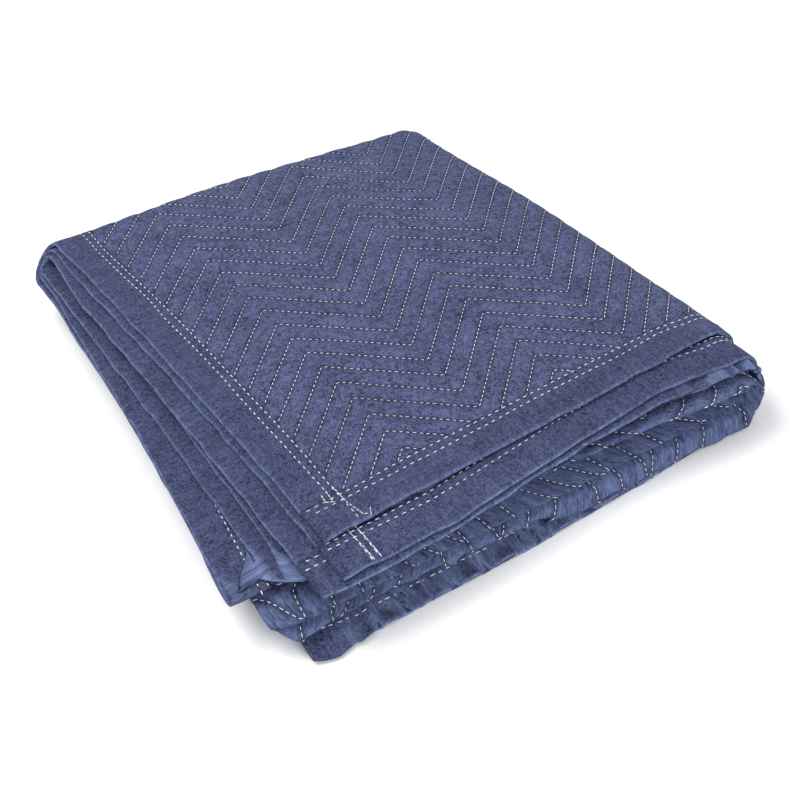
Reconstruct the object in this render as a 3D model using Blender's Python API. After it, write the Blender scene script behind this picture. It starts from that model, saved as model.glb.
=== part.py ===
"""A quilted moving blanket, bound on all four sides and folded in half four times.

The blanket is described flat first, with u across it and v along it, and is then
folded as it would be by hand: the far half is wrapped under the near half along its
length, then across its width, then along and across once more. Sixteen layers lie on
each other, and all four corners of the blanket come to the front left of the stack.
Every piece is modelled flat and goes through the same folding function, so the
binding follows the panel round every fold.
"""

import bmesh
import bpy
import math
import numpy as np
from mathutils import Matrix

# Sizes in metres.
BLANKET_WIDTH = 1.829        # across the blanket, 72 in
BLANKET_LENGTH = 2.032       # along the blanket, 80 in
CLOTH_THICKNESS = 0.0034     # the quilted panel at its loft
LAYER_PITCH = 0.0047         # height from one layer of the stack to the next
BINDING_WIDTH = 0.036        # how far the binding reaches in over each face
BINDING_SKIN = 0.0005        # thickness of the binding tape
PIECE_GAP = 0.0008           # clearance between the binding and the panel
EDGE_RAMP = 0.0010           # the panel swells to full loft over this width

# Fold lines, as the distance from the front left corner of the upper layer.
SIDE_FOLD = 0.910            # second fold, half of the width
TURN_FOLD = 0.3960           # fourth fold, near a quarter of the width

# Where the layered edges come out along the front of the stack. One row for each
# station, measured from the left edge along the folded length, round the right turn
# and back below. Columns: station, second and third layer, and the folded edges.
FRONT_STATIONS = (
    # station, second, third, folded
    (-0.10, -0.030, -0.033, 0.012),
    (0.00, -0.034, -0.037, -0.002),
    (0.10, -0.038, -0.041, -0.014),
    (0.25, -0.027, -0.032, -0.031),
    (0.33, -0.024, -0.032, -0.039),
    (0.39, -0.034, -0.041, -0.048),
    (0.45, -0.034, -0.047, -0.051),
    (0.52, -0.030, -0.048, -0.046),
    (0.62, -0.026, -0.049, -0.041),
    (0.74, -0.022, -0.049, -0.031),
    (0.83, -0.020, -0.045, -0.027),
    (0.95, -0.020, -0.042, -0.024),
)
STRAIGHT, SECOND, THIRD, FOLDED = range(4)
# The column that tells where each of eight layers comes out, from the outer one in.
EDGE_COLUMNS = (STRAIGHT, SECOND, THIRD, STRAIGHT, FOLDED, FOLDED, FOLDED, FOLDED)

# How far each of the eight upper layers slides along the stack at its left edge.
# Columns: layer counted from the top, at the front, halfway back, at the back.
LEFT_SLIDES = (
    # layer, front, middle, back
    (0, 0.000, 0.007, 0.006),
    (1, -0.006, 0.001, -0.003),
    (2, -0.024, -0.014, -0.010),
    (3, -0.024, -0.014, -0.012),
    (4, -0.045, -0.026, -0.015),
    (5, -0.045, -0.026, -0.016),
    (6, -0.085, -0.045, -0.020),
    (7, -0.085, -0.045, -0.022),
)
SLIDE_FULL = 0.10            # the slide is whole up to this station
SLIDE_END = 0.62             # and has died out by this one
BACK_BLEND = 0.09            # length over which the slides even out at the back
PAIR_SHIFT = -0.012          # extra reach of the lowest folded pair at the front
PAIR_START = 5.25            # level where that pair begins
PAIR_FULL = 5.75

# The inner layers of the last fold lose their spare length below.
FAN_KEPT = 0.25              # share of the fan of the edges that is left
TAKE_UP_FRONT = -0.025       # further length lost at the front; less than none is reach
TAKE_UP_BACK = 0.021         # and at the back
TAKE_UP_START = 0.48
TAKE_UP_END = 0.90

# Where no layer lies, the layers above sink.
DROOP_RUN = 0.090            # length over which they sink
FRONT_VOID_LEFT = 0.60       # share of an empty layer's height left at the front
LEFT_VOID_LEFT = 0.93        # and at the left side
CORNER_SINK = 0.20           # the back right corner is pressed down by this share
CORNER_SPAN = 0.26

LAYERS = 16
HALF_LAYERS = LAYERS // 2
TURN_ARC = math.pi * 0.5 * LAYER_PITCH      # cloth taken up by the tightest turn
TURN_RADIUS = (HALF_LAYERS - 0.5) * LAYER_PITCH
FACE_REACH = math.pi * 0.5 * CLOTH_THICKNESS     # the outer face turns this much longer

# Grid of the pieces.
ARC_STEP = math.radians(45.0)    # largest bend between two lines of the grid
ARC_SAG = 0.0006                 # and how far a straight facet may cut its corner
BASE_THIRD = 0.480               # straight places of the folds that the grid starts from
BASE_FIRST = 0.999
BASE_AGAIN = 1.525
RUNS_ALONG = (0.210,)      # lines between the bends, as reach back in the stack
FRONT_RUN = 0.045
RUNS_UPPER = (0.100, 0.240)      # and as reach to the right, above and below
RUNS_LOWER = (0.620, 0.740, 0.840)
LEAST_SPACING = 0.0009           # closer lines of the grid count as one
BEND_LEAD = 0.001                # the grid moves as one from this far before a bend
TURN_LEAD = 0.010                # and the same at the second half of the last fold
SLOPE_STEP = 0.0002              # step that tells how the middle surface slopes
TURN_ROOM = 0.04                 # the two faces part from each other over this length
GRID_ROUNDS = 2                  # the lines settle on the folds in this many rounds
TURN_ROUNDS = 12
MIDDLE_BLEND = 0.03              # width over which the first fold's two reaches blend

NAVY = (0.060, 0.066, 0.150)
BINDING_NAVY = (0.052, 0.060, 0.140)
CLOTH_ROUGHNESS = 0.9
BINDING_ROUGHNESS = 0.8


def smooth_step(value, start, end):
    """Rise from 0 at start to 1 at end with level ends."""
    part = np.clip((value - start) / (end - start), 0.0, 1.0)
    return part * part * (3.0 - 2.0 * part)


def station_column(station, column):
    """Read one column of the front stations, with straight lines between rows."""
    rows = np.array(FRONT_STATIONS)
    return np.interp(station, rows[:, 0], rows[:, column])


def wrap_under(along, height, line, axis_height):
    """Bend the cloth that lies past a line round an axis and back underneath."""
    radius = height - axis_height
    reach = along - line
    angle = np.clip(reach / radius, 0.0, math.pi)
    past = np.maximum(reach - math.pi * radius, 0.0)
    new_along = line + np.minimum(reach, 0.0) + radius * np.sin(angle) - past
    return new_along, axis_height + radius * np.cos(angle)


def first_fold_line(across):
    """Place of the first fold along the length, from the reach of the lower edges."""
    near = station_column(across, SECOND)
    far = station_column(BLANKET_WIDTH - across, THIRD)
    middle = 0.5 * BLANKET_WIDTH
    blend = smooth_step(across, middle - MIDDLE_BLEND, middle + MIDDLE_BLEND)
    edge = near * (1.0 - blend) + far * blend
    return 0.5 * (BLANKET_LENGTH - TURN_ARC + edge)


def third_fold_line(station):
    """Place of the third fold, which puts the folded edges where they come out."""
    first = 0.5 * (BLANKET_LENGTH - TURN_ARC + station_column(station, THIRD))
    folded = station_column(station, FOLDED)
    return 0.5 * (folded + first + 0.5 * LAYER_PITCH - TURN_ARC)


def left_slide(height, back_share, back_distance):
    """Slide of the eight upper layers at their left edges, at a height among them."""
    rows = np.array(LEFT_SLIDES)
    level = np.clip(layer_level(height), 0.0, HALF_LAYERS - 1.0)
    front = np.interp(level, rows[:, 0], rows[:, 1])
    middle = np.interp(level, rows[:, 0], rows[:, 2])
    back = np.interp(level, rows[:, 0], rows[:, 3])
    share = np.clip(back_share, 0.0, 1.0)
    bowed = (front * (1.0 - share) * (1.0 - 2.0 * share)
             + 4.0 * middle * share * (1.0 - share)
             + back * share * (2.0 * share - 1.0))
    depth = np.clip(-height / LAYER_PITCH, 0.0, HALF_LAYERS - 1.0) / (HALF_LAYERS - 1)
    even = rows[0, 3] + (rows[-1, 3] - rows[0, 3]) * depth
    blend = smooth_step(back_distance, 0.0, BACK_BLEND)
    return bowed * blend + even * (1.0 - blend)


def layer_level(height):
    """Layers down from the top at a height, flat within each layer."""
    level = -height / LAYER_PITCH
    nearest = np.round(level)
    half_flat = 0.5 * CLOTH_THICKNESS / LAYER_PITCH
    offset = level - nearest
    over = np.sign(offset) * np.maximum(np.abs(offset) - half_flat, 0.0)
    return nearest + over * 0.5 / (0.5 - half_flat)


def slide_fade(station):
    """Share of the slide that is left at a station."""
    return 1.0 - smooth_step(station, SLIDE_FULL, SLIDE_END)


def take_up(back_share):
    """Length that a layer below loses, from the front of the stack to its back."""
    share = np.clip(back_share, 0.0, 1.0)
    return TAKE_UP_FRONT + (TAKE_UP_BACK - TAKE_UP_FRONT) * share


def slide_layers(station, back, height, fold_back):
    """Slide the eight layers over each other, before the last fold."""
    distance = fold_back - back
    slide = left_slide(height, back / fold_back, distance) * slide_fade(station)
    radius = height + TURN_RADIUS
    fan = (1.0 - FAN_KEPT) * math.pi * (TURN_RADIUS - radius)
    lost = fan + take_up(back / fold_back)
    ramp = smooth_step(station, TAKE_UP_START, TAKE_UP_END)
    level = np.clip(layer_level(height), 0.0, HALF_LAYERS - 1.0)
    pair = smooth_step(level, PAIR_START, PAIR_FULL) * np.clip(distance / fold_back, 0.0, 1.0)
    return station + slide - lost * ramp, back + PAIR_SHIFT * pair


def front_edges(station):
    """Front edge of eight layers at a station, from the outer layer in."""
    return [station_column(station, column) if column else 0.0 * station
            for column in EDGE_COLUMNS]


def level_edges(x, y):
    """Left and front edge of each of the sixteen levels, from the floor up."""
    back_share = np.clip(y / third_fold_line(0.0), 0.0, 1.0)
    lefts = []
    for level in range(HALF_LAYERS):
        fan = (1.0 - FAN_KEPT) * level * LAYER_PITCH
        reach = math.pi * (TURN_RADIUS - level * LAYER_PITCH + fan)
        left = 2.0 * TURN_FOLD + reach - SIDE_FOLD - 1.5 * LAYER_PITCH
        lefts.append(left + take_up(back_share))
    far_edge = 2.0 * SIDE_FOLD - BLANKET_WIDTH
    inner_edge, outer_edge = far_edge + TURN_ARC, far_edge + 3.0 * TURN_ARC
    naturals = (0.0, 0.0, inner_edge, outer_edge, outer_edge, inner_edge, 0.0, 0.0)
    for natural, (_, front, _, back) in reversed(list(zip(naturals, LEFT_SLIDES))):
        lefts.append(natural + front + (back - front) * back_share)
    below = 2.0 * TURN_FOLD + math.pi * 0.5 * HALF_LAYERS * LAYER_PITCH - x
    return lefts, front_edges(below) + front_edges(x)[::-1]


def settle(x, y, z):
    """Let the layers sink where nothing lies below them; the lowest face stays flat."""
    back_line = third_fold_line(0.5 * TURN_FOLD)
    right_part = smooth_step(x, TURN_FOLD - CORNER_SPAN, TURN_FOLD)
    back_part = smooth_step(y, back_line - CORNER_SPAN, back_line)
    settled = np.zeros_like(z)
    for index, (left, front) in enumerate(zip(*level_edges(x, y))):
        beyond_left = smooth_step(left - x, 0.0, DROOP_RUN)
        beyond_front = smooth_step(front - y, 0.0, DROOP_RUN)
        kept = ((1.0 - (1.0 - LEFT_VOID_LEFT) * beyond_left)
                * (1.0 - (1.0 - FRONT_VOID_LEFT) * beyond_front))
        share = np.clip(z / LAYER_PITCH - index, 0.0, 1.0)
        settled = settled + share * kept * LAYER_PITCH
    return x, y, settled * (1.0 - CORNER_SINK * right_part * back_part)


def carry(across, along, offset):
    """Carry points of the flat blanket to the stack; the faces slide past each other."""
    v, z = wrap_under(along, offset, first_fold_line(across), -0.5 * LAYER_PITCH)
    p, z = wrap_under(across, z, SIDE_FOLD, -1.5 * LAYER_PITCH)
    fold_back = third_fold_line(p)
    r, z = wrap_under(v, z, fold_back, -3.5 * LAYER_PITCH)
    p, r = slide_layers(p, r, z, fold_back)
    x, z = wrap_under(p, z, TURN_FOLD, -7.5 * LAYER_PITCH)
    lift = (LAYERS - 0.5) * LAYER_PITCH
    x, y, z = settle(x, r, z + lift)
    return np.stack([x, y, z - 0.5 * (LAYER_PITCH - CLOTH_THICKNESS)], axis=-1)


def away_from_turns(across, along):
    """1 where the cloth is away from the first two folds, whose turns are tight, else 0."""
    first = first_fold_line(across)
    from_first = np.maximum(first - along, along - first - turns(0.5) - FACE_REACH)
    from_side = np.maximum(SIDE_FOLD - across,
                           across - SIDE_FOLD - turns(1.5) - FACE_REACH)
    return smooth_step(np.minimum(from_first, from_side), 0.0, TURN_ROOM)


def fold(across, along, offset):
    """Carry points to the folded stack, square off its middle surface away from turns."""
    middle = 0.0 * offset
    with_across = (carry(across + SLOPE_STEP, along, middle)
                   - carry(across - SLOPE_STEP, along, middle))
    with_along = (carry(across, along + SLOPE_STEP, middle)
                  - carry(across, along - SLOPE_STEP, middle))
    normal = np.cross(with_across, with_along)
    normal /= np.linalg.norm(normal, axis=-1, keepdims=True)
    square = carry(across, along, middle) + offset[..., None] * normal
    share = away_from_turns(across, along)[..., None]
    return square * share + carry(across, along, offset) * (1.0 - share)


def arc_lines(start, sign, radii):
    """Grid lines through a bend, close where the tightest layer still turns."""
    lines = [start]
    reach = 0.0
    for radius in sorted(r * LAYER_PITCH for r in radii):
        limit = math.pi * radius
        bend = min(ARC_STEP, 2.0 * math.acos(1.0 - ARC_SAG / radius))
        steps = max(1, math.ceil((limit - reach) / (bend * radius)))
        size = (limit - reach) / steps
        lines += [start + sign * (reach + size * (step + 1)) for step in range(steps)]
        reach = limit
    return lines


def grid_lines(length, folds, runs):
    """All lines of one direction: both edges, the bends and the runs between."""
    hem = BINDING_SKIN + PIECE_GAP
    inner = BINDING_WIDTH + PIECE_GAP
    lines = [hem, inner, inner + EDGE_RAMP]
    lines += [length - value for value in lines]
    for start, sign, radii in folds:
        lines += arc_lines(start, sign, radii)
    lines += runs
    kept = []
    for value in sorted(lines):
        if not kept or value - kept[-1] > LEAST_SPACING:
            kept.append(value)
    return kept


def far_station(across, along):
    """Station of a point past the second fold, where the inner layer turns tighter."""
    arc = np.where(along < first_fold_line(across), 3.0, 1.0) * TURN_ARC
    return 2.0 * SIDE_FOLD + arc - across


def fold_places(across, along):
    """Where the third, the first and the third fold again cross a line of the grid."""
    station = np.where(across < SIDE_FOLD, across, far_station(across, along))
    first = first_fold_line(across)
    third = third_fold_line(station)
    return third, first, 2.0 * first + TURN_ARC - third


def turn_shift(across, along):
    """How far the slides move the start of the last fold along the cloth."""
    v, z = wrap_under(along, 0.0 * along, first_fold_line(across), -0.5 * LAYER_PITCH)
    p, z = wrap_under(across, z, SIDE_FOLD, -1.5 * LAYER_PITCH)
    fold_back = third_fold_line(p)
    r, z = wrap_under(v, z, fold_back, -3.5 * LAYER_PITCH)
    slide = left_slide(z, r / fold_back, fold_back - r)
    station = 0.0 * along + TURN_FOLD
    for _ in range(TURN_ROUNDS):
        station = TURN_FOLD - slide * slide_fade(station)
    return station - TURN_FOLD


def base_lines():
    """The grid where the folds run straight: lines across and lines along."""
    outer_turn = 2.0 * SIDE_FOLD + 3.0 * TURN_ARC - TURN_FOLD
    inner_turn = 2.0 * SIDE_FOLD + TURN_ARC - TURN_FOLD
    folds_across = (
        (TURN_FOLD, 1.0, (0.5, 1.5, 6.5, 7.5)),
        (SIDE_FOLD, 1.0, (0.5, 1.5)),
        (outer_turn, -1.0, (3.5, 4.5)),
        (inner_turn, -1.0, (2.5, 5.5)),
    )
    runs_across = [*RUNS_UPPER, *RUNS_LOWER]
    runs_across += [2.0 * (SIDE_FOLD + TURN_ARC) - run for run in runs_across]
    folds_along = (
        (BASE_THIRD, 1.0, (0.5, 3.5)),
        (BASE_FIRST, 1.0, (0.5,)),
        (BASE_AGAIN, -1.0, (1.5, 2.5)),
    )
    runs_along = [*RUNS_ALONG, *(2.0 * BASE_THIRD + 4.0 * TURN_ARC - run
                                 for run in (FRONT_RUN, *RUNS_ALONG))]
    runs_along += [2.0 * BASE_FIRST + TURN_ARC - run for run in runs_along]
    runs_across.append(SIDE_FOLD + turns(1.5) + FACE_REACH)
    runs_along.append(BASE_FIRST + turns(0.5) + FACE_REACH)
    return (grid_lines(BLANKET_WIDTH, folds_across, runs_across),
            grid_lines(BLANKET_LENGTH, folds_along, runs_along))


def turns(count):
    """Length of cloth in a half turn with this many layers between its ends."""
    return math.pi * count * LAYER_PITCH


def fit_along(base, across, along):
    """Move the lines along the blanket with the folds that they belong to."""
    third, first, again = fold_places(across, along)
    hem = BINDING_WIDTH + PIECE_GAP + EDGE_RAMP
    stops = ((0.0, None), (hem, None),
             (BASE_THIRD - BEND_LEAD, third - BASE_THIRD),
             (BASE_THIRD + turns(3.5) + BEND_LEAD, third - BASE_THIRD),
             (BASE_FIRST - BEND_LEAD, first - BASE_FIRST),
             (BASE_FIRST + turns(0.5) + FACE_REACH + BEND_LEAD, first - BASE_FIRST),
             (BASE_AGAIN - turns(2.5) - BEND_LEAD, again - BASE_AGAIN),
             (BASE_AGAIN + BEND_LEAD, again - BASE_AGAIN),
             (BLANKET_LENGTH - hem, None), (BLANKET_LENGTH, None))
    return shift_lines(base, stops)


def fit_across(base, along):
    """Move the lines across the blanket with the last fold."""
    far_turn = 2.0 * SIDE_FOLD + 2.0 * TURN_ARC - TURN_FOLD
    far_end = 2.0 * (SIDE_FOLD + TURN_ARC) - SLIDE_END
    near = turn_shift(np.full_like(along, TURN_FOLD), along)
    far = -turn_shift(np.full_like(along, far_turn), along)
    hem = BINDING_WIDTH + PIECE_GAP + EDGE_RAMP
    stops = ((0.0, None), (hem, None), (TURN_FOLD - BEND_LEAD, near),
             (TURN_FOLD + turns(7.5) + BEND_LEAD, near), (SLIDE_END, None),
             (SIDE_FOLD, None), (far_end, None), (far_turn - turns(6.0), far),
             (far_turn + TURN_LEAD, far),
             (BLANKET_WIDTH - hem, None), (BLANKET_WIDTH, None))
    return shift_lines(base, stops)


def shift_lines(base, stops):
    """Move lines by the shifts at the stops, and evenly between; None is no shift."""
    moved = base.copy()
    for (low, low_shift), (high, high_shift) in zip(stops, stops[1:]):
        low_shift = 0.0 * base if low_shift is None else low_shift
        high_shift = 0.0 * base if high_shift is None else high_shift
        part = (base - low) / (high - low)
        inside = (part >= 0.0) & (part <= 1.0)
        moved = np.where(inside, base + low_shift + (high_shift - low_shift) * part, moved)
    return moved


def build_grid():
    """Grid of the blanket whose lines keep to the folds."""
    across_base, along_base = base_lines()
    straight_u, straight_v = np.meshgrid(across_base, along_base, indexing="ij")
    u, v = straight_u, straight_v
    for _ in range(GRID_ROUNDS):
        v = fit_along(straight_v, u, v)
        u = fit_across(straight_u, v)
    return u, v


def finish_piece(name, model, place, colour, roughness):
    """Fold a flat model through place and give it an object and a plain material."""
    mesh = bpy.data.meshes.new(name)
    model.to_mesh(mesh)
    model.free()
    flat = np.array([vertex.co for vertex in mesh.vertices], dtype=np.float64)
    mesh.vertices.foreach_set("co", place(flat).ravel())
    mesh.update()
    material = bpy.data.materials.new(name + "_cloth")
    material.use_nodes = True
    shader = material.node_tree.nodes["Principled BSDF"]
    shader.inputs["Base Color"].default_value = (*colour, 1.0)
    shader.inputs["Roughness"].default_value = roughness
    shader.inputs["Metallic"].default_value = 0.0
    mesh.materials.append(material)
    item = bpy.data.objects.new(name, mesh)
    bpy.context.scene.collection.objects.link(item)
    return item


def panel_half_thickness(u, v):
    """Half of the panel's thickness: thin under the binding, full past it."""
    inner = BINDING_WIDTH + PIECE_GAP
    thin = 0.5 * CLOTH_THICKNESS - BINDING_SKIN - PIECE_GAP
    from_side = np.minimum(u, BLANKET_WIDTH - u)
    from_end = np.minimum(v, BLANKET_LENGTH - v)
    swell = np.clip((np.minimum(from_side, from_end) - inner) / EDGE_RAMP, 0.0, 1.0)
    return thin + (0.5 * CLOTH_THICKNESS - thin) * swell


def split_cells(model, faces, rising):
    """Split four-sided cells in two, from the low corner to the high one if rising."""
    bmesh.ops.triangulate(model, faces=faces, quad_method="FIXED" if rising else "ALTERNATE")


def flat_grid(lines_along_x, lines_along_y):
    """A flat grid one unit to the line, with its first corner at the origin."""
    model = bmesh.new()
    cells_x, cells_y = lines_along_x - 1, lines_along_y - 1
    spread = (Matrix.Diagonal((cells_x, cells_y, 1.0, 1.0))
              @ Matrix.Translation((0.5, 0.5, 0.0)))
    bmesh.ops.create_grid(model, x_segments=cells_x, y_segments=cells_y, size=0.5,
                          matrix=spread)
    return model


def close_sheet(model):
    """Extrude a grid of triangles one unit up, which gives it two matching faces."""
    grown = bmesh.ops.extrude_face_region(model, geom=model.faces[:], use_keep_orig=True)
    upper = [part for part in grown["geom"] if isinstance(part, bmesh.types.BMVert)]
    bmesh.ops.translate(model, vec=(0.0, 0.0, 1.0), verts=upper)


def build_panel(u, v):
    """The quilted panel: a grid one unit to the line, extruded to two faces, folded."""
    model = flat_grid(*u.shape)
    split_cells(model, model.faces[:], rising=True)
    close_sheet(model)

    def place(flat):
        i = np.rint(flat[:, 0]).astype(int)
        j = np.rint(flat[:, 1]).astype(int)
        side = np.where(flat[:, 2] > 0.5, 1.0, -1.0)
        return fold(u[i, j], v[i, j], side * panel_half_thickness(u[i, j], v[i, j]))

    return finish_piece("quilted_panel", model, place, NAVY, CLOTH_ROUGHNESS)


def tape_sections():
    """Inset and height of the folded tape's corners: those inside, then those outside."""
    outer = 0.5 * CLOTH_THICKNESS
    inner = outer - BINDING_SKIN
    inside = ((BINDING_WIDTH, inner), (BINDING_SKIN, inner),
              (BINDING_SKIN, -inner), (BINDING_WIDTH, -inner))
    outside = ((BINDING_WIDTH, outer), (0.0, outer), (0.0, -outer), (BINDING_WIDTH, -outer))
    return np.array((inside, outside))


def build_binding(name, edge_lines, inner_lines, locate, leans_in):
    """A tape folded over one edge: a strip three cells wide, extruded, bent and folded.

    The lines run on from the panel's grid: their run at the panel's edge and at the
    tape's inner side. locate turns run and inset into u and v. leans_in says that the
    panel's own cells are split from the edge inward, which the tape's cells repeat.
    """
    sections = tape_sections()
    model = flat_grid(len(edge_lines), sections.shape[1])
    over, edge, under = ([face for face in model.faces
                          if int(face.calc_center_median().y) == column]
                         for column in range(3))
    split_cells(model, over, rising=not leans_in)
    split_cells(model, edge, rising=True)
    split_cells(model, under, rising=leans_in)
    close_sheet(model)
    hem = BINDING_SKIN + PIECE_GAP

    def place(flat):
        line = np.rint(flat[:, 0]).astype(int)
        corner = np.rint(flat[:, 1]).astype(int)
        inset, height = sections[np.rint(flat[:, 2]).astype(int), corner].T
        part = (inset - hem) / (BINDING_WIDTH + PIECE_GAP - hem)
        run = edge_lines[line] + (inner_lines[line] - edge_lines[line]) * part
        across, along = locate(run, inset)
        return fold(across, along, height)

    return finish_piece(name, model, place, BINDING_NAVY, BINDING_ROUGHNESS)


def whole_width(lines):
    """The lines of an end with its first and last moved out to the cloth's sides."""
    return np.concatenate([[0.0], lines[1:-1], [BLANKET_WIDTH]])


def face_outward(item):
    """Turn the faces of a closed mesh outward, and return its corners."""
    mesh = item.data
    mesh.calc_loop_triangles()
    corners = np.array([vertex.co for vertex in mesh.vertices])
    triangles = np.array([tri.vertices for tri in mesh.loop_triangles])
    a, b, c = (corners[triangles[:, k]] for k in range(3))
    if np.einsum("ij,ij->i", a, np.cross(b, c)).sum() < 0.0:
        mesh.flip_normals()
    return corners


def main():
    """Build the panel and the four lengths of binding, centred over the origin."""
    for item in list(bpy.data.objects):
        bpy.data.objects.remove(item)
    u, v = build_grid()
    side = slice(1, -1)
    pieces = [
        build_panel(u, v),
        build_binding("left_side_binding", v[0, side], v[1, side],
                      lambda run, inset: (inset, run), leans_in=True),
        build_binding("right_side_binding", v[-1, side], v[-2, side],
                      lambda run, inset: (BLANKET_WIDTH - inset, run), leans_in=False),
        build_binding("near_end_binding", whole_width(u[:, 0]), whole_width(u[:, 1]),
                      lambda run, inset: (run, inset), leans_in=True),
        build_binding("far_end_binding", whole_width(u[:, -1]), whole_width(u[:, -2]),
                      lambda run, inset: (run, BLANKET_LENGTH - inset), leans_in=False),
    ]
    corners = np.vstack([face_outward(item) for item in pieces])
    middle = 0.5 * (corners.min(axis=0) + corners.max(axis=0))
    for item in pieces:
        item.location = (-middle[0], -middle[1], 0.0)


main()
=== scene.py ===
"""The looks of a folded moving blanket: quilted cloth, sewn tapes and their stitches.

The blanket is described flat, with u across it and v along it, and every piece is
modelled flat in those measures. The folding of the stack then carries the cloth, the
tapes and each stitch to its place, so what is sewn together stays together.
"""

import logging
import math
from dataclasses import dataclass, replace
from enum import Enum
from typing import Callable

import bpy
import numpy as np
from mathutils import Matrix, Vector


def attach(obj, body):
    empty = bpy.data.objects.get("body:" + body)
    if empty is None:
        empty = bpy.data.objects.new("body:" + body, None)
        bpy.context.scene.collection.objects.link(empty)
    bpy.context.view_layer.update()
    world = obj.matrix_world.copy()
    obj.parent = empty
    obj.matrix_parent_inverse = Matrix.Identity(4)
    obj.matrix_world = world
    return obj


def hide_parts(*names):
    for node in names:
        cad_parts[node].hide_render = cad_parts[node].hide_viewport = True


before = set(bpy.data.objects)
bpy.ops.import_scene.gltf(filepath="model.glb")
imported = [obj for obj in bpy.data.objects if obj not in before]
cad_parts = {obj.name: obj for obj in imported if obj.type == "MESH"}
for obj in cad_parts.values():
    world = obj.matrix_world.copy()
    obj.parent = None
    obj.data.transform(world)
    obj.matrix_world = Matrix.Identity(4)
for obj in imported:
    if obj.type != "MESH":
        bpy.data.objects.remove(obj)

LOG = logging.getLogger("moving_blanket")
Array = np.ndarray
Object = bpy.types.Object
Material = bpy.types.Material
Socket = bpy.types.NodeSocket
Pair = tuple[float, float]
Triple = tuple[float, float, float]
Rgba = tuple[float, float, float, float]
Surface = Callable[[Array, float], Array]  # flat places and a lift to the stack


def smooth_step(value: Array, start: float, end: float) -> Array:
    """Rise from 0 at start to 1 at end with level ends."""
    part = np.clip((value - start) / (end - start), 0.0, 1.0)
    return part * part * (3.0 - 2.0 * part)


class Face(Enum):
    """The two faces of the cloth."""

    UPPER = 1.0
    LOWER = -1.0


@dataclass(frozen=True)
class Unevenness:
    """Soft, repeatable unevenness read from a lattice of seeded numbers.

    Args:
        seed: which lattice.
        size: the lattice's points each way, after which it repeats.
    """

    seed: int
    size: int = 97

    def at(self, across: Array, along: Array | float) -> Array:
        """Unevenness from -1 to 1 at places counted in lattice steps.

        Args:
            across: place along the first direction.
            along: place along the second.

        Returns:
            The unevenness of each place.
        """
        size = self.size
        lattice = np.random.default_rng(self.seed).uniform(-1.0, 1.0, (size, size))
        i, j = np.floor(across).astype(int), np.floor(along).astype(int)
        a, b = across - i, along - j
        a, b = a * a * (3.0 - 2.0 * a), b * b * (3.0 - 2.0 * b)
        i0, j0, i1, j1 = i % size, j % size, (i + 1) % size, (j + 1) % size
        near = lattice[i0, j0] * (1.0 - a) + lattice[i1, j0] * a
        far = lattice[i0, j1] * (1.0 - a) + lattice[i1, j1] * a
        return near * (1.0 - b) + far * b


@dataclass(frozen=True)
class Blanket:
    """Sizes of the blanket as it is cut and sewn, in metres."""

    width: float = 1.829
    length: float = 2.032
    thickness: float = 0.0034
    tape_width: float = 0.036
    tape_skin: float = 0.0005
    tape_height: float = 0.00145  # middle of the tape's skin off the cloth's middle
    hem_half: float = 0.0004  # half of the cloth's thickness inside the tape
    hem_ramp: float = 0.0035


@dataclass(frozen=True)
class Quilting:
    """The zigzag rows of stitches and the relief that they pull into the cloth."""

    row: float = 0.0254  # from row to row along the cloth
    leg: float = 0.07884  # a zigzag's leg, measured across the cloth
    rise: float = 0.0757  # and along it
    peak: float = 0.1035  # place of one peak across the cloth
    start: float = 0.3145  # and along it, at the middle of its legs
    rounding: float = 0.04  # share of a leg that a corner's round takes
    dent: float = 0.0042  # half width of the dent along a row
    puff: float = 0.00085  # height between a row and the cloth beside it

    def swing(self, across: Array) -> Array:
        """The zigzag's shape, from -1 in a valley to 1 on a peak, corners rounded.

        Args:
            across: place across the flat blanket.

        Returns:
            The shape at each place.
        """
        phase = np.abs(((across - self.peak) / self.leg) % 2.0)
        part = np.where(phase > 1.0, 2.0 - phase, phase)
        e = self.rounding
        part = np.where(part < e, (part * part + e * e) / (2.0 * e), part)
        rest = 1.0 - part
        rest = np.where(rest < e, (rest * rest + e * e) / (2.0 * e), rest)
        return 2.0 * rest - 1.0

    def row_at(self, across: Array, along: Array) -> Array:
        """How many rows a place lies from the first one."""
        return (along - self.start - 0.5 * self.rise * self.swing(across)) / self.row

    @property
    def slope(self) -> float:
        """Share of a step along the cloth that is square to a row."""
        return self.leg / math.hypot(self.leg, self.rise)

    def distance(self, across: Array, along: Array) -> Array:
        """Distance from a place to the nearest row, square to it."""
        rows = self.row_at(across, along)
        return np.abs(rows - np.round(rows)) * self.row * self.slope

    def relief(self, across: Array, along: Array) -> Array:
        """Height of the quilted face off its mean, lowest along the rows."""
        dip = np.exp(-(self.distance(across, along) / self.dent) ** 2)
        return self.puff * (0.4 - dip)


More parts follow.
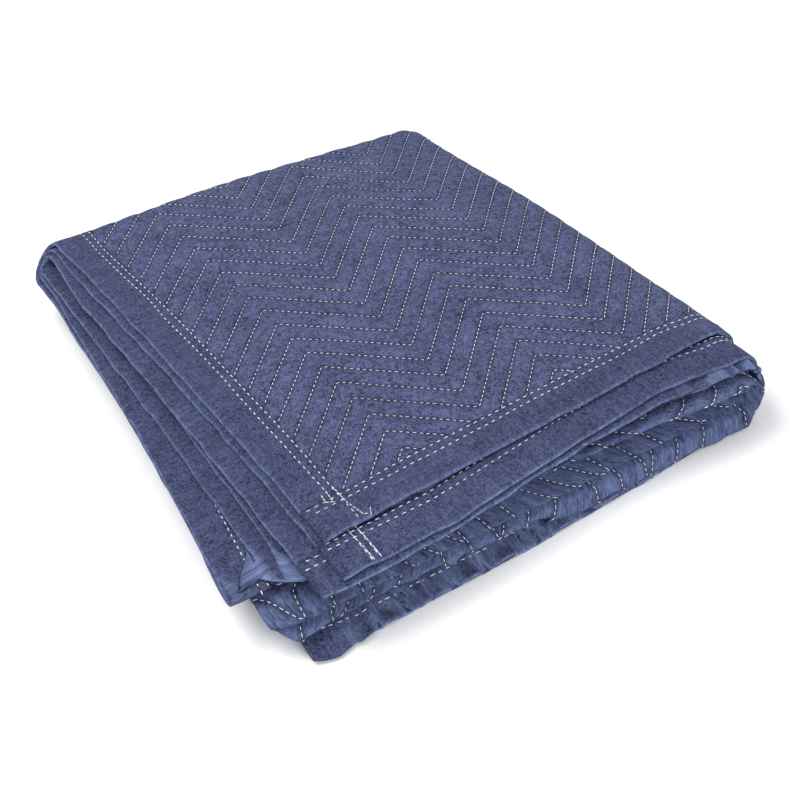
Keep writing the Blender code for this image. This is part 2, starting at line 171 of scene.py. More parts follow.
@dataclass(frozen=True)
class Folding:
    """Where the blanket folds, and how the stack's layers lie on each other.

    The four folds wrap the far half under the near half: along the length, across the
    width, then along and across again. A level is counted in pitches from the floor.
    """

    blanket: Blanket = Blanket()
    pitch: float = 0.0047  # height from one layer to the next
    side_fold: float = 0.910
    turn_fold: float = 0.3960
    corner: Pair = (-0.17614, -0.22811)  # front left corner of the top
    # Station along the front, reach of the second and third layer, of the folded edges.
    front_stations: tuple[tuple[float, ...], ...] = (
        (-0.10, -0.030, -0.033, 0.012),
        (0.00, -0.034, -0.037, -0.002),
        (0.10, -0.038, -0.041, -0.014),
        (0.25, -0.027, -0.032, -0.031),
        (0.33, -0.024, -0.032, -0.039),
        (0.39, -0.034, -0.041, -0.048),
        (0.45, -0.034, -0.047, -0.051),
        (0.52, -0.030, -0.048, -0.046),
        (0.62, -0.026, -0.049, -0.041),
        (0.74, -0.022, -0.049, -0.031),
        (0.83, -0.020, -0.045, -0.027),
        (0.95, -0.020, -0.042, -0.024),
    )
    # Layer from the top, its slide to the right at the front, halfway and at the back.
    left_slides: tuple[tuple[float, ...], ...] = (
        (0, 0.000, 0.007, 0.006),
        (1, -0.006, 0.001, -0.003),
        (2, -0.024, -0.014, -0.010),
        (3, -0.024, -0.014, -0.012),
        (4, -0.045, -0.026, -0.015),
        (5, -0.045, -0.026, -0.016),
        (6, -0.085, -0.045, -0.020),
        (7, -0.085, -0.045, -0.022),
    )
    edge_columns: tuple[int, ...] = (0, 1, 2, 0, 3, 3, 3, 3)  # the layers' stations
    half_blend: float = 0.03  # the first line passes over within this, halfway
    slide_range: Pair = (0.10, 0.62)  # the slides fade out across this
    back_blend: float = 0.09  # they even out this near to the third fold
    pair_shift: float = -0.012  # the two lowest layers lie this far forward
    pair_range: Pair = (5.25, 5.75)  # layers down where that starts
    fan_kept: float = 0.25  # share of the wide turn's extra length kept
    take_up_ends: Pair = (-0.025, 0.021)  # length lost at the front and at the back
    take_up_range: Pair = (0.48, 0.90)  # it is taken up across this
    droop_run: float = 0.090  # how far over a void the layers droop
    front_void_left: float = 0.60  # share of its height that a front void keeps
    left_void_left: float = 0.93
    corner_sink: float = 0.20  # share that the back right corner is pressed down
    corner_span: float = 0.26
    half_layers: int = 8
    # The hem of the lowest layers hangs from the stack's front to the floor.
    skirt_start: float = -0.012  # the front place where it starts to hang
    skirt_end: float = -0.054  # and where it meets the floor
    skirt_share: float = 0.80  # share of its height that it loses
    skirt_height: float = 0.0165  # layers lower than this hang
    slope_step: float = 0.0002  # step that tells how the cloth's middle slopes
    turn_room: float = 0.04  # the two faces part from each other over this

    @property
    def arc(self) -> float:
        """Cloth taken up by the tightest turn."""
        return math.pi * 0.5 * self.pitch

    @property
    def turn_radius(self) -> float:
        """Radius of the outer layer's turn at the right."""
        return (self.half_layers - 0.5) * self.pitch

    def station(self, place: Array, column: int) -> Array:
        """Read one column of the front stations."""
        rows = np.array(self.front_stations)
        return np.interp(place, rows[:, 0], rows[:, column])

    @staticmethod
    def wrap(along: Array, height: Array, line: Array, axis: float) -> tuple[Array, Array]:
        """Bend the cloth past a line round an axis and back underneath.

        Args:
            along: place along the cloth, square to the line.
            height: height of the place.
            line: place of the line.
            axis: height of the axis.

        Returns:
            The new place along and the new height.
        """
        radius = height - axis
        reach = along - line
        angle = np.clip(reach / radius, 0.0, math.pi)
        past = np.maximum(reach - math.pi * radius, 0.0)
        placed = line + np.minimum(reach, 0.0) + radius * np.sin(angle) - past
        return placed, axis + radius * np.cos(angle)

    def first_line(self, across: Array) -> Array:
        """Place of the first fold along the cloth.

        Args:
            across: place across the flat blanket.

        Returns:
            The place along the blanket.
        """
        middle = 0.5 * self.blanket.width
        near = self.station(across, 1)
        far = self.station(self.blanket.width - across, 2)
        blend = smooth_step(across, middle - self.half_blend, middle + self.half_blend)
        edge = near * (1.0 - blend) + far * blend
        return 0.5 * (self.blanket.length - self.arc + edge)

    def third_line(self, place: Array) -> Array:
        """Place of the third fold, which puts the folded edges where they come out."""
        first = 0.5 * (self.blanket.length - self.arc + self.station(place, 2))
        return 0.5 * (self.station(place, 3) + first + 0.5 * self.pitch - self.arc)

    def level(self, height: Array) -> Array:
        """Layers down from the top at a height, flat within each layer.

        Args:
            height: height off the top layer's middle, before the last fold.

        Returns:
            The layers down, from 0 to 7.
        """
        level = -height / self.pitch
        nearest = np.round(level)
        flat = 0.5 * self.blanket.thickness / self.pitch
        offset = level - nearest
        over = np.sign(offset) * np.maximum(np.abs(offset) - flat, 0.0)
        return np.clip(nearest + over * 0.5 / (0.5 - flat), 0.0, self.half_layers - 1.0)

    def slide(self, height: Array, back_share: Array, distance: Array) -> Array:
        """Slide of the eight upper layers at their left edges.

        Args:
            height: height off the top layer's middle, before the last fold.
            back_share: share of the way to the third fold.
            distance: distance to the third fold.

        Returns:
            The slide to the right of each place.
        """
        rows = np.array(self.left_slides)
        level = self.level(height)
        front, middle, back = (np.interp(level, rows[:, 0], rows[:, k]) for k in (1, 2, 3))
        share = np.clip(back_share, 0.0, 1.0)
        bowed = (front * (1.0 - share) * (1.0 - 2.0 * share)
                 + 4.0 * middle * share * (1.0 - share)
                 + back * share * (2.0 * share - 1.0))
        last = self.half_layers - 1.0
        depth = np.clip(-height / self.pitch, 0.0, last) / last
        even = rows[0, 3] + (rows[-1, 3] - rows[0, 3]) * depth
        blend = smooth_step(distance, 0.0, self.back_blend)
        return bowed * blend + even * (1.0 - blend)

    def take_up(self, back_share: Array) -> Array:
        """Length that a layer below loses, from the front of the stack to its back."""
        front, back = self.take_up_ends
        return front + (back - front) * np.clip(back_share, 0.0, 1.0)

    def slide_layers(self, place: Array, back: Array, height: Array,
                     line: Array) -> tuple[Array, Array]:
        """Slide the eight layers over each other, before the last fold.

        Args:
            place: place across the stack.
            back: place from its front to its back.
            height: height off the top layer's middle.
            line: place of the third fold.

        Returns:
            The new place across and the new place to the back.
        """
        distance = line - back
        fade = 1.0 - smooth_step(place, *self.slide_range)
        slide = self.slide(height, back / line, distance) * fade
        fan = (1.0 - self.fan_kept) * math.pi * -height
        lost = fan + self.take_up(back / line)
        ramp = smooth_step(place, *self.take_up_range)
        pair = smooth_step(self.level(height), *self.pair_range)
        pair = pair * np.clip(distance / line, 0.0, 1.0)
        return place + slide - lost * ramp, back + self.pair_shift * pair

    def front_edges(self, place: Array) -> list[Array]:
        """Front edge of eight layers at a station, from the outer layer in."""
        return [self.station(place, column) if column else 0.0 * place
                for column in self.edge_columns]

    def level_edges(self, x: Array, y: Array) -> tuple[list[Array], list[Array]]:
        """Left and front edge of each of the sixteen levels, from the floor up.

        Args:
            x: place to the right on the stack.
            y: place to its back.

        Returns:
            The left edges and the front edges.
        """
        share = np.clip(y / self.third_line(0.0), 0.0, 1.0)
        lefts = []
        for level in range(self.half_layers):
            fan = (1.0 - self.fan_kept) * level * self.pitch
            reach = math.pi * (self.turn_radius - level * self.pitch + fan)
            left = 2.0 * self.turn_fold + reach - self.side_fold - 1.5 * self.pitch
            lefts.append(left + self.take_up(share))
        far_edge = 2.0 * self.side_fold - self.blanket.width
        inner, outer = far_edge + self.arc, far_edge + 3.0 * self.arc
        naturals = (0.0, 0.0, inner, outer, outer, inner, 0.0, 0.0)
        for natural, slides in reversed(list(zip(naturals, self.left_slides))):
            _, front, _, back = slides
            lefts.append(natural + front + (back - front) * share)
        below = 2.0 * self.turn_fold + math.pi * 0.5 * self.half_layers * self.pitch - x
        return lefts, self.front_edges(below) + self.front_edges(x)[::-1]

    def settle(self, x: Array, y: Array, z: Array) -> Array:
        """New heights once the layers have sunk where nothing lies below them.

        Args:
            x: place to the right on the stack.
            y: place to its back.
            z: height over the floor.

        Returns:
            The new heights.
        """
        line = self.third_line(0.5 * self.turn_fold)
        right = smooth_step(x, self.turn_fold - self.corner_span, self.turn_fold)
        back = smooth_step(y, line - self.corner_span, line)
        settled = np.zeros_like(z)
        for index, (left, front) in enumerate(zip(*self.level_edges(x, y))):
            beyond_left = smooth_step(left - x, 0.0, self.droop_run)
            beyond_front = smooth_step(front - y, 0.0, self.droop_run)
            kept = ((1.0 - (1.0 - self.left_void_left) * beyond_left)
                    * (1.0 - (1.0 - self.front_void_left) * beyond_front))
            part = np.clip(z / self.pitch - index, 0.0, 1.0)
            settled = settled + part * kept * self.pitch
        return settled * (1.0 - self.corner_sink * right * back)

    def hang_skirt(self, y: Array, z: Array) -> Array:
        """Heights once the lowest layers' front has dropped to the floor.

        Args:
            y: place to the stack's back.
            z: height over the floor.

        Returns:
            The new heights.
        """
        part = smooth_step(y, self.skirt_start, self.skirt_end)
        low = 1.0 - smooth_step(z, self.skirt_height, self.skirt_height + 0.5 * self.pitch)
        return z * (1.0 - self.skirt_share * part * low)

    def carry(self, across: Array, along: Array, offset: Array) -> Array:
        """Carry points of the flat blanket to the stack; its two faces slide apart.

        Args:
            across: place across the flat blanket.
            along: place along it.
            offset: height over the middle of the cloth.

        Returns:
            Points in the frame of the object.
        """
        v, z = self.wrap(along, offset, self.first_line(across), -0.5 * self.pitch)
        p, z = self.wrap(across, z, self.side_fold, -1.5 * self.pitch)
        line = self.third_line(p)
        r, z = self.wrap(v, z, line, -3.5 * self.pitch)
        p, r = self.slide_layers(p, r, z, line)
        x, z = self.wrap(p, z, self.turn_fold, -7.5 * self.pitch)
        z = self.settle(x, r, z + (2.0 * self.half_layers - 0.5) * self.pitch)
        z = z - 0.5 * (self.pitch - self.blanket.thickness)
        z = self.hang_skirt(r, z)
        return np.stack([x + self.corner[0], r + self.corner[1], z], axis=-1)

    def away_from_turns(self, across: Array, along: Array) -> Array:
        """1 where the cloth is away from the first two folds' tight turns, else 0.

        Args:
            across: place across the flat blanket.
            along: place along it.

        Returns:
            The share of each place, from 0 to 1.
        """
        face = math.pi * 0.5 * self.blanket.thickness
        first = self.first_line(across)
        from_first = np.maximum(first - along, along - first - self.arc - face)
        from_side = np.maximum(self.side_fold - across,
                               across - self.side_fold - 3.0 * self.arc - face)
        return smooth_step(np.minimum(from_first, from_side), 0.0, self.turn_room)

    def fold(self, across: Array, along: Array, offset: Array) -> Array:
        """Carry points of the flat blanket to their place in the folded stack.

        Args:
            across: place across the flat blanket.
            along: place along it.
            offset: height over the middle of the cloth.

        Returns:
            Points in the frame of the object.
        """
        step, middle = self.slope_step, 0.0 * offset
        with_across = (self.carry(across + step, along, middle)
                       - self.carry(across - step, along, middle))
        with_along = (self.carry(across, along + step, middle)
                      - self.carry(across, along - step, middle))
        normal = np.cross(with_across, with_along)
        normal /= np.linalg.norm(normal, axis=-1, keepdims=True)
        square = self.carry(across, along, middle) + offset[:, None] * normal
        share = self.away_from_turns(across, along)[:, None]
        return square * share + self.carry(across, along, offset) * (1.0 - share)


@dataclass(frozen=True)
class Crumple:
    """How the cloth's two faces buckle together, off the smooth fold."""

    folding: Folding = Folding()
    broad: Unevenness = Unevenness(11)
    fine: Unevenness = Unevenness(23)
    gathers: Unevenness = Unevenness(37)
    broad_size: float = 0.055
    broad_height: float = 0.0005
    fine_size: float = 0.011
    fine_height: float = 0.00018
    gather_size: float = 0.0120  # from one gather to the next along a folded edge
    gather_length: float = 0.055
    gather_height: float = 0.0004
    gather_reach: float = 0.050  # how far back from the folded edge they run
    gather_slant: float = 9.0  # gathers that a metre back from the edge passes
    group_size: float = 0.040  # from one group of deep gathers to the next
    group_place: Pair = (7.3, 3.1)  # their place on the lattice
    group_share: Pair = (0.65, 0.5)  # mean depth and its variation

    def at(self, across: Array, along: Array) -> Array:
        """Offset of the cloth's middle.

        Args:
            across: place across the flat blanket.
            along: place along it.

        Returns:
            The offset of each place.
        """
        fold = self.folding
        broad = self.broad.at(across / self.broad_size, along / self.broad_size)
        fine = self.fine.at(across / self.fine_size, along / self.fine_size)
        off = np.abs(along - fold.first_line(across) - 0.5 * fold.arc)
        near = 1.0 - smooth_step(off, 0.3 * self.gather_reach, self.gather_reach)
        slant = self.gather_slant * (along - 1.0)
        ridge = self.gathers.at(across / self.gather_size + slant,
                                along / self.gather_length)
        deep = self.broad.at(across / self.group_size + self.group_place[0],
                             self.group_place[1])
        mean, more = self.group_share
        gather = self.gather_height * near * ridge * (mean + more * deep)
        return self.broad_height * broad + self.fine_height * fine + gather


class Signal:
    """A number that flows through a finish; Python's operators add its Math nodes."""

    def __init__(self, finish: "Finish", socket: Socket) -> None:
        """Wrap a socket of a finish."""
        self.finish = finish
        self.socket = socket

    def math(self, operation: str, *values: object) -> "Signal":
        """Add one Math node that reads the values in their order."""
        settings = {"operation": operation}
        node = self.finish.node("ShaderNodeMath", settings, dict(enumerate(values)))
        return Signal(self.finish, node.outputs[0])

    def __add__(self, other: object) -> "Signal":
        """Sum."""
        return self.math("ADD", self, other)

    def __sub__(self, other: object) -> "Signal":
        """Difference."""
        return self.math("SUBTRACT", self, other)

    def __rsub__(self, other: object) -> "Signal":
        """Difference, the other way round."""
        return self.math("SUBTRACT", other, self)

    def __mul__(self, other: object) -> "Signal":
        """Product."""
        return self.math("MULTIPLY", self, other)

    __rmul__ = __mul__

    def __truediv__(self, other: object) -> "Signal":
        """Quotient."""
        return self.math("DIVIDE", self, other)

    def swing(self, size: float) -> "Signal":
        """Go up and down again between 0 and a size."""
        return self.math("PINGPONG", self, size)


class Finish:
    """A material with one Principled shader, and the tools to build its pattern."""

    def __init__(self, name: str, roughness: float, sheen: float = 0.0,
                 sheen_tint: Triple = (1.0, 1.0, 1.0)) -> None:
        """Start a material.

        Args:
            name: the material's name.
            roughness: roughness all over.
            sheen: weight of the fuzz's sheen.
            sheen_tint: colour of that sheen.
        """
        self.material = bpy.data.materials.new(name)
        self.material.use_nodes = True
        self.nodes = self.material.node_tree.nodes
        self.links = self.material.node_tree.links
        self.shader = self.nodes["Principled BSDF"]
        for socket, value in (("Roughness", roughness), ("Specular IOR Level", 0.15),
                              ("Sheen Weight", sheen), ("Sheen Roughness", 0.45),
                              ("Sheen Tint", (*sheen_tint, 1.0))):
            self.shader.inputs[socket].default_value = value

    def node(self, kind: str, settings: dict[str, object] | None = None,
             values: dict[object, object] | None = None) -> bpy.types.Node:
        """Add a node.

        Args:
            kind: the node's type.
            settings: its own settings, set before its sockets.
            values: what each socket holds, by name or place: a value or a link.

        Returns:
            The node.
        """
        node = self.nodes.new(kind)
        for name, value in (settings or {}).items():
            setattr(node, name, value)
        for key, value in (values or {}).items():
            source = value.socket if isinstance(value, Signal) else value
            if isinstance(source, Socket):
                self.links.new(source, node.inputs[key])
            else:
                node.inputs[key].default_value = source
        return node

    def cloth_place(self, stretch: Triple = (1.0, 1.0, 1.0)) -> Socket:
        """Place on the flat blanket in metres, from the piece's own attribute.

        Args:
            stretch: factors that it is multiplied by.

        Returns:
            The vector's socket.
        """
        source = self.node("ShaderNodeAttribute", {"attribute_name": "cloth"})
        scaled = self.node("ShaderNodeVectorMath", {"operation": "MULTIPLY"},
                           {0: source.outputs["Vector"], 1: stretch})
        return scaled.outputs[0]

    def noise(self, place: Socket, scale: float, detail: float = 2.0,
              roughness: float = 0.5, distortion: float = 0.0) -> Signal:
        """Noise from 0 to 1 at a place.

        Args:
            place: the vector that it reads.
            scale: bumps in each metre.
            detail: finer layers of it.
            roughness: weight of the finer layers.
            distortion: how much it swirls.

        Returns:
            The noise.
        """
        node = self.node("ShaderNodeTexNoise", None,
                         {"Vector": place, "Scale": scale, "Detail": detail,
                          "Roughness": roughness, "Distortion": distortion})
        return Signal(self, node.outputs["Fac"])

    def ramp(self, signal: Signal, *stops: Pair) -> Signal:
        """Reshape a number.

        Args:
            signal: the number.
            stops: places on it from 0 to 1, and the value at each.

        Returns:
            The new number.
        """
        node = self.node("ShaderNodeValToRGB")
        elements = node.color_ramp.elements
        while len(elements) < len(stops):
            elements.new(0.5)
        for element, (place, value) in zip(elements, stops):
            element.position = place
            element.color = (value, value, value, 1.0)
        self.links.new(signal.socket, node.inputs["Fac"])
        return Signal(self, node.outputs["Color"])

    def blend(self, factor: Signal, first: object, second: object) -> Socket:
        """Mix two colours by a number."""
        node = self.node("ShaderNodeMix", {"data_type": "RGBA", "clamp_factor": True},
                         {0: factor, 6: first, 7: second})
        return node.outputs[2]

    def painted_highlight(self, pattern: Signal, *stops: Pair) -> Signal:
        """Painted highlight on the piece's creases, broken up by a reshaped pattern."""
        crease = self.node("ShaderNodeAttribute", {"attribute_name": "crease"})
        return Signal(self, crease.outputs["Fac"]) * self.ramp(pattern, *stops)

    def wear(self, colour: object, relief: Signal, strength: float, depth: float) -> None:
        """Link the finished colour and relief to the shader.

        Args:
            colour: the colour's socket.
            relief: height, in units of depth.
            strength: how strong the bump is.
            depth: height of one unit, in metres.
        """
        self.links.new(colour, self.shader.inputs["Base Color"])
        bump = self.node("ShaderNodeBump", None,
                         {"Strength": strength, "Distance": depth, "Height": relief})
        self.links.new(bump.outputs["Normal"], self.shader.inputs["Normal"])


@dataclass(frozen=True)
class QuiltedFinish:
    """Fuzzy navy felt with a painted paler highlight on its folds, dented along its
    stitches, with painted shade in the dents.
    """

    pale: Rgba = (0.133, 0.158, 0.305, 1.0)
    dark: Rgba = (0.005, 0.006, 0.028, 1.0)
    # painted highlight colour for the folded edges
    fold_highlight_blue: Rgba = (0.150, 0.225, 0.430, 1.0)
    tint: Triple = (0.55, 0.62, 0.85)
    dent_reach: float = 0.012  # how far the dent reaches from a row of stitches
    bump: float = 0.0030
    quilting: Quilting = Quilting()

    def row_distance(self, finish: Finish) -> Signal:
        """Distance to the nearest row of stitches, in metres, square to it.

        Args:
            finish: the finish that it is built in.

        Returns:
            The distance.
        """
        quilt = self.quilting
        node = finish.node("ShaderNodeSeparateXYZ", None, {0: finish.cloth_place()})
        across, along = (Signal(finish, node.outputs[k]) for k in (0, 1))
        swing = (across - quilt.peak).swing(quilt.leg) / quilt.leg
        row = (along - quilt.start - 0.5 * quilt.rise) + quilt.rise * swing
        return (row / quilt.row).swing(0.5) * (quilt.row * quilt.slope)

    def build(self) -> Material:
        """Build the material."""
        finish = Finish("quilted_navy_felt", 0.95, 0.05, self.tint)
        place = finish.cloth_place()
        grain = finish.noise(place, 600.0, 3.0, 0.75)
        fuzz = finish.noise(place, 210.0, 3.0, 0.6, 0.8)
        cloud = finish.noise(place, 22.0, 3.0, 0.55)
        wrinkle = finish.noise(finish.cloth_place((170.0, 55.0, 55.0)), 1.0, 3.0, 0.6, 0.5)
        distance = self.row_distance(finish) / self.dent_reach
        dent = finish.ramp(distance, (0.0, 0.0), (0.22, 0.42), (0.6, 0.9), (1.0, 1.0))
        seam = finish.ramp(distance, (0.05, 0.0), (0.25, 1.0))
        mottle = grain * 0.56 + fuzz * 0.34 + cloud * 0.10
        tone = finish.ramp(mottle, (0.385, 0.0), (0.625, 1.0))
        colour = finish.blend(tone, self.dark, self.pale)
        # Painted highlight: the cloth is lightened toward a pale blue along its folds.
        painted_highlight = finish.painted_highlight(wrinkle, (0.35, 0.0), (0.75, 1.0))
        colour = finish.blend(painted_highlight * 0.5, colour, self.fold_highlight_blue)
        # Painted shade: the cloth is darkened in the dent along each row of stitches.
        colour = finish.blend((1.0 - seam) * 0.55, colour, self.dark)
        relief = dent * 0.60 + grain * 0.20 + fuzz * 0.32 + wrinkle * 0.40
        finish.wear(colour, relief, 1.0, self.bump)
        return finish.material


@dataclass(frozen=True)
class TapeFinish:
    """Smooth navy tape with fine ripples across it, painted shade and light of those
    ripples in its colour, and a painted paler highlight on its folded edges.
    """

    pale: Rgba = (0.098, 0.117, 0.234, 1.0)
    dark: Rgba = (0.008, 0.009, 0.034, 1.0)
    # painted highlight colour for the folded edges and the loose creases' ridges
    edge_highlight_blue: Rgba = (0.200, 0.270, 0.480, 1.0)
    tint: Triple = (0.55, 0.65, 0.9)
    bump: float = 0.0030

    def build(self, name: str, along_ends: bool) -> Material:
        """Build the material.

        Args:
            name: the material's name.
            along_ends: whether the tape runs across the blanket, on its ends.

        Returns:
            The material.
        """
        finish = Finish(name, 0.88, 0.05, self.tint)
        turn = 1 if along_ends else -1  # ripples lie close along the tape's run
        place = finish.cloth_place()
        grain = finish.noise(place, 620.0, 2.5, 0.75)
        fuzz = finish.noise(place, 320.0, 3.0, 0.6, 0.4)
        cloud = finish.noise(place, 26.0, 2.0, 0.5)
        stretch = (*(190.0, 45.0)[::turn], 1.0)
        ripple = finish.noise(finish.cloth_place(stretch), 1.0, 2.5, 0.60, 1.2)
        stretch = (*(420.0, 90.0)[::turn], 1.0)
        fine = finish.noise(finish.cloth_place(stretch), 1.0, 2.0, 0.6, 0.6)
        # Ripple and fine also tint the colour as painted shade and light of the tape's
        # ripples; grain, fuzz and cloud are its own tone.
        mottle = (grain * 0.44 + fuzz * 0.24 + ripple * 0.13 + fine * 0.11
                  + cloud * 0.08)
        tone = finish.ramp(mottle, (0.40, 0.0), (0.615, 1.0))
        colour = finish.blend(tone, self.dark, self.pale)
        # Painted highlight: the folded edges and the loose creases' ridges are lightened
        # toward a pale blue.
        painted_highlight = finish.painted_highlight(ripple, (0.30, 0.2), (0.70, 1.0))
        colour = finish.blend(painted_highlight * 0.8, colour, self.edge_highlight_blue)
        relief = grain * 0.16 + fuzz * 0.24 + ripple * 0.80 + fine * 0.42
        finish.wear(colour, relief, 1.0, self.bump)
        return finish.material


@dataclass(frozen=True)
class ThreadFinish:
    """White spun thread, a little soiled here and there."""

    white: Rgba = (0.78, 0.79, 0.82, 1.0)
    soiled: Rgba = (0.52, 0.50, 0.50, 1.0)

    def build(self) -> Material:
        """Build the material."""
        finish = Finish("white_sewing_thread", 0.7, 0.1)
        place = finish.cloth_place()
        cloud = finish.noise(place, 14.0, 2.0, 0.5)
        twist = finish.noise(place, 1500.0, 1.0, 0.5)
        soil = finish.ramp(cloud, (0.46, 0.0), (0.66, 0.8))
        finish.wear(finish.blend(soil, self.white, self.soiled), twist, 0.5, 0.0002)
        return finish.material


def deselect_all() -> None:
    """Leave nothing selected, as an operator acts on all that is."""
    for item in bpy.context.selected_objects:
        item.select_set(False)


def points_of(mesh: bpy.types.Mesh) -> Array:
    """The corners of a mesh, one row each."""
    points = np.empty(len(mesh.vertices) * 3)
    mesh.vertices.foreach_get("co", points)
    return points.reshape(-1, 3)


def add_slab(name: str, across: Array, along: Array, thickness: float) -> Object:
    """Add a flat slab about the height 0, with lines both ways.

    Args:
        name: the new piece's name.
        across: where its lines lie across.
        along: where its lines lie along.
        thickness: how thick it is.

    Returns:
        The piece, active and alone selected.
    """
    deselect_all()
    count = (len(across) - 1, len(along) - 1)
    bpy.ops.mesh.primitive_grid_add(x_subdivisions=count[0], y_subdivisions=count[1],
                                    size=1.0)
    item = bpy.context.active_object
    item.name = item.data.name = name
    i, j = np.rint((points_of(item.data)[:, :2] + 0.5) * count).astype(int).T
    flat = np.stack([across[i], along[j], 0.0 * along[j]], axis=1)
    item.data.vertices.foreach_set("co", flat.ravel())
    solid = item.modifiers.new("thickness", "SOLIDIFY")
    solid.thickness = thickness
    solid.offset = 0.0
    bpy.ops.object.modifier_apply(modifier=solid.name)
    return item


def cut_long_edges(item: Object, is_long: Callable[[Array, Array], Array],
                   rounds: int) -> None:
    """Halve the edges that are too long, round after round.

    Args:
        item: the flat slab, active and alone selected.
        is_long: tells from both ends of the edges which ones are cut.
        rounds: the most rounds.
    """
    mesh = item.data
    bpy.context.tool_settings.mesh_select_mode = (False, True, False)
    for _ in range(rounds):
        ends = np.empty(len(mesh.edges) * 2, dtype=int)
        mesh.edges.foreach_get("vertices", ends)
        points = points_of(mesh)[ends.reshape(-1, 2)]
        cut = is_long(points[:, 0], points[:, 1])
        if not cut.any():
            break
        for parts in (mesh.polygons, mesh.vertices):
            parts.foreach_set("select", np.zeros(len(parts), dtype=bool))
        mesh.edges.foreach_set("select", cut)
        bpy.ops.object.mode_set(mode="EDIT")
        bpy.ops.mesh.subdivide(number_cuts=1)
        bpy.ops.object.mode_set(mode="OBJECT")


def bend_off(start: Array, end: Array, carry: Callable[[Array], Array]) -> Array:
    """How far straight edges would cut the bends of the folded cloth.

    Args:
        start: one end of each flat edge.
        end: its other end.
        carry: carries flat places to the folded stack.

    Returns:
        The distance from each edge's middle to the place that its middle goes to.
    """
    first, middle, last = (carry(spot) for spot in (start, 0.5 * (start + end), end))
    return np.linalg.norm(middle - 0.5 * (first + last), axis=1)


def finish_cloth(item: Object, flat: Array, placed: Array, crease: Array,
                 material: Material) -> None:
    """Put a flat piece in its folded place, and dress it.

    Args:
        item: the piece.
        flat: its corners on the flat blanket: across, along and height.
        placed: its corners in the object's frame.
        crease: how strong the painted highlight is at each corner, from 0 to 1.
        material: its finish.
    """
    mesh = item.data
    mesh.vertices.foreach_set("co", placed.ravel())
    for name, kind, field, values in (("cloth", "FLOAT_VECTOR", "vector", flat.ravel()),
                                      ("crease", "FLOAT", "value", crease)):
        mesh.attributes.new(name, kind, "POINT").data.foreach_set(field, values)
    mesh.materials.clear()
    mesh.materials.append(material)
    mesh.polygons.foreach_set("use_smooth", np.ones(len(mesh.polygons), dtype=bool))
    mesh.update()
    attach(item, "root")
    LOG.info("%s: %d faces", item.name, len(mesh.polygons))


